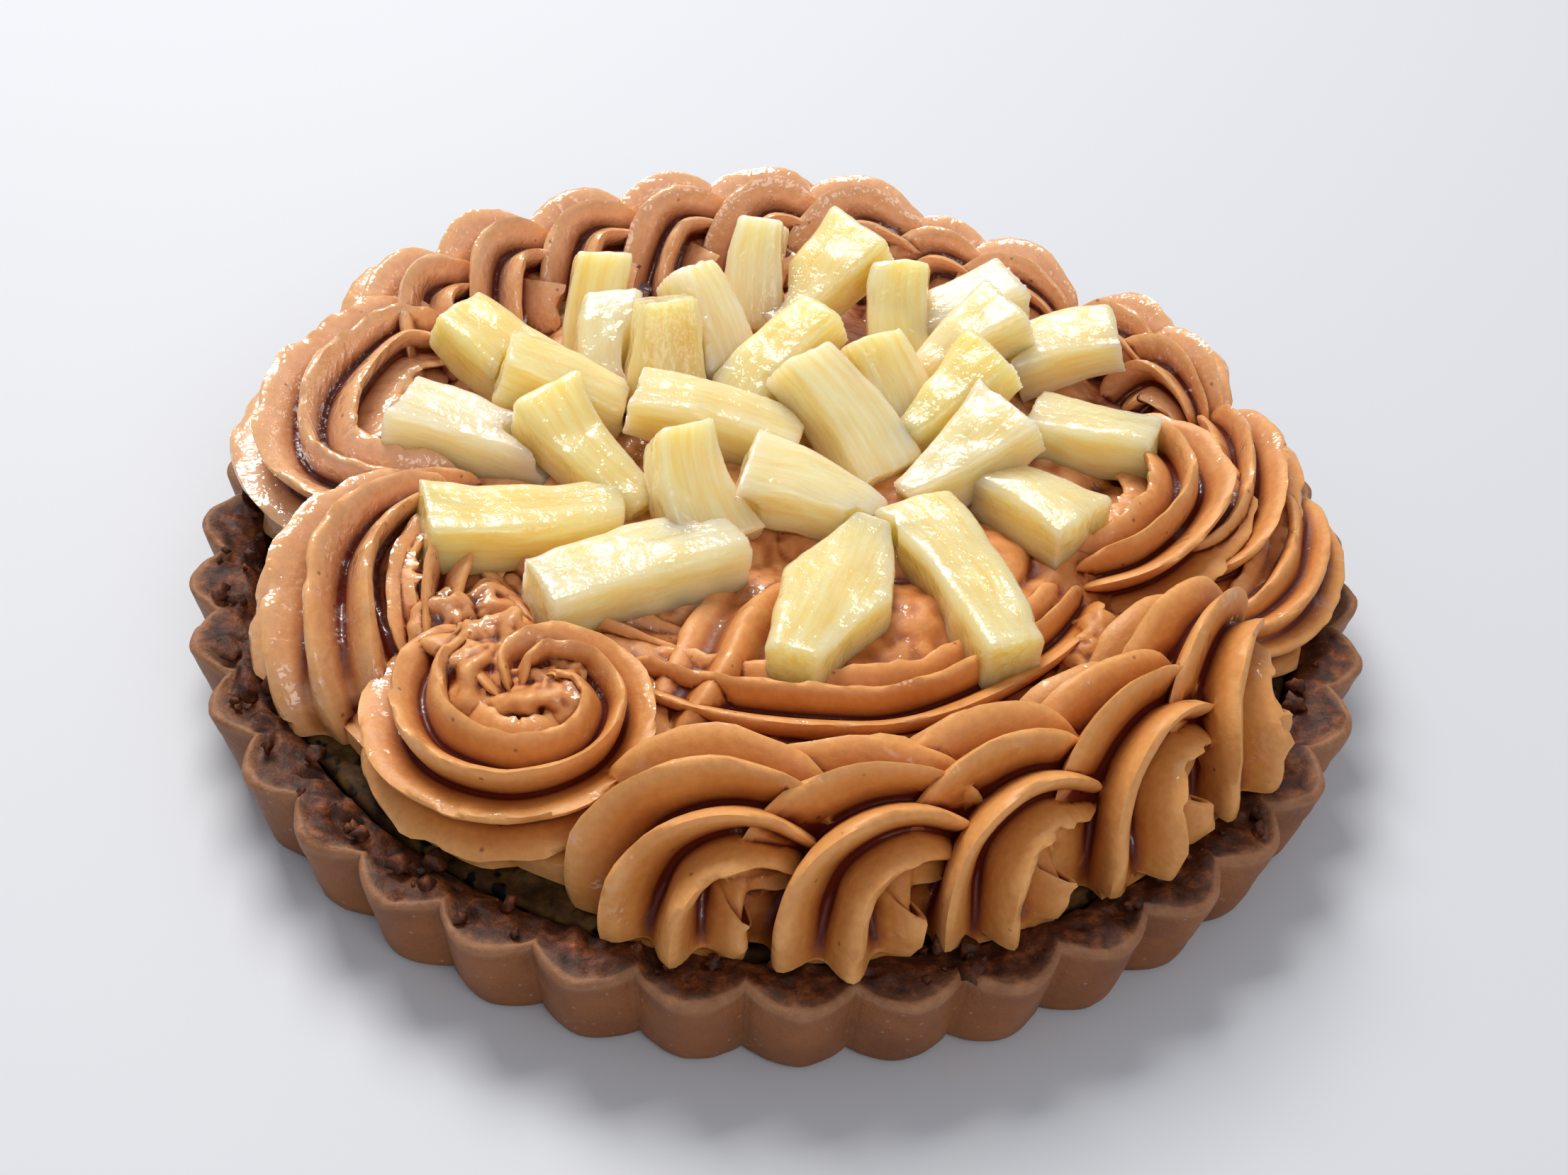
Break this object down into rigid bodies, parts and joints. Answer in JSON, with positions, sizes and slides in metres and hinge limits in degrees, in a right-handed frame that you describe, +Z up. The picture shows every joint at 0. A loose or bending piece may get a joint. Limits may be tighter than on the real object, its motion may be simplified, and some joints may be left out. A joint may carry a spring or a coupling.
{
  "type": "sweet potato tart",
  "caption": "Round fluted chocolate tart with a baked filling, piped sweet potato cream in rope loops and rosettes, and pale yellow fruit wedges laid on top",
  "frame": {"origin": "centre of the flat base of the crust", "axes": "+Z up, -Y towards the front of the tart with the rope loops, +X to the right seen from the front"},
  "size_m": [0.1195, 0.1195, 0.0283],
  "materials": {
    "crust": "baked chocolate shortcrust, satin outside and crumbly on the rim",
    "filling": "baked, mottled and slightly moist",
    "cream": "smooth piped cream with a moist sheen",
    "fruit": "wet, translucent and fibrous"
  },
  "bodies": {
    "root": {"tart_shell": "crust", "filling": "filling", "piped_cream": "cream", "fruit_wedge_01": "fruit", "fruit_wedge_02": "fruit", "fruit_wedge_03": "fruit", "fruit_wedge_04": "fruit", "fruit_wedge_05": "fruit", "fruit_wedge_06": "fruit", "fruit_wedge_07": "fruit", "fruit_wedge_08": "fruit", "fruit_wedge_09": "fruit", "fruit_wedge_10": "fruit", "fruit_wedge_11": "fruit", "fruit_wedge_12": "fruit", "fruit_wedge_13": "fruit", "fruit_wedge_14": "fruit", "fruit_wedge_15": "fruit", "fruit_wedge_16": "fruit", "fruit_wedge_17": "fruit", "fruit_wedge_18": "fruit", "fruit_wedge_19": "fruit", "fruit_wedge_20": "fruit", "fruit_wedge_21": "fruit", "fruit_wedge_22": "fruit", "fruit_wedge_23": "fruit", "fruit_wedge_24": "fruit", "fruit_wedge_25": "fruit", "fruit_wedge_26": "fruit", "fruit_wedge_27": "fruit", "fruit_wedge_28": "fruit"}
  },
  "joints": []
}
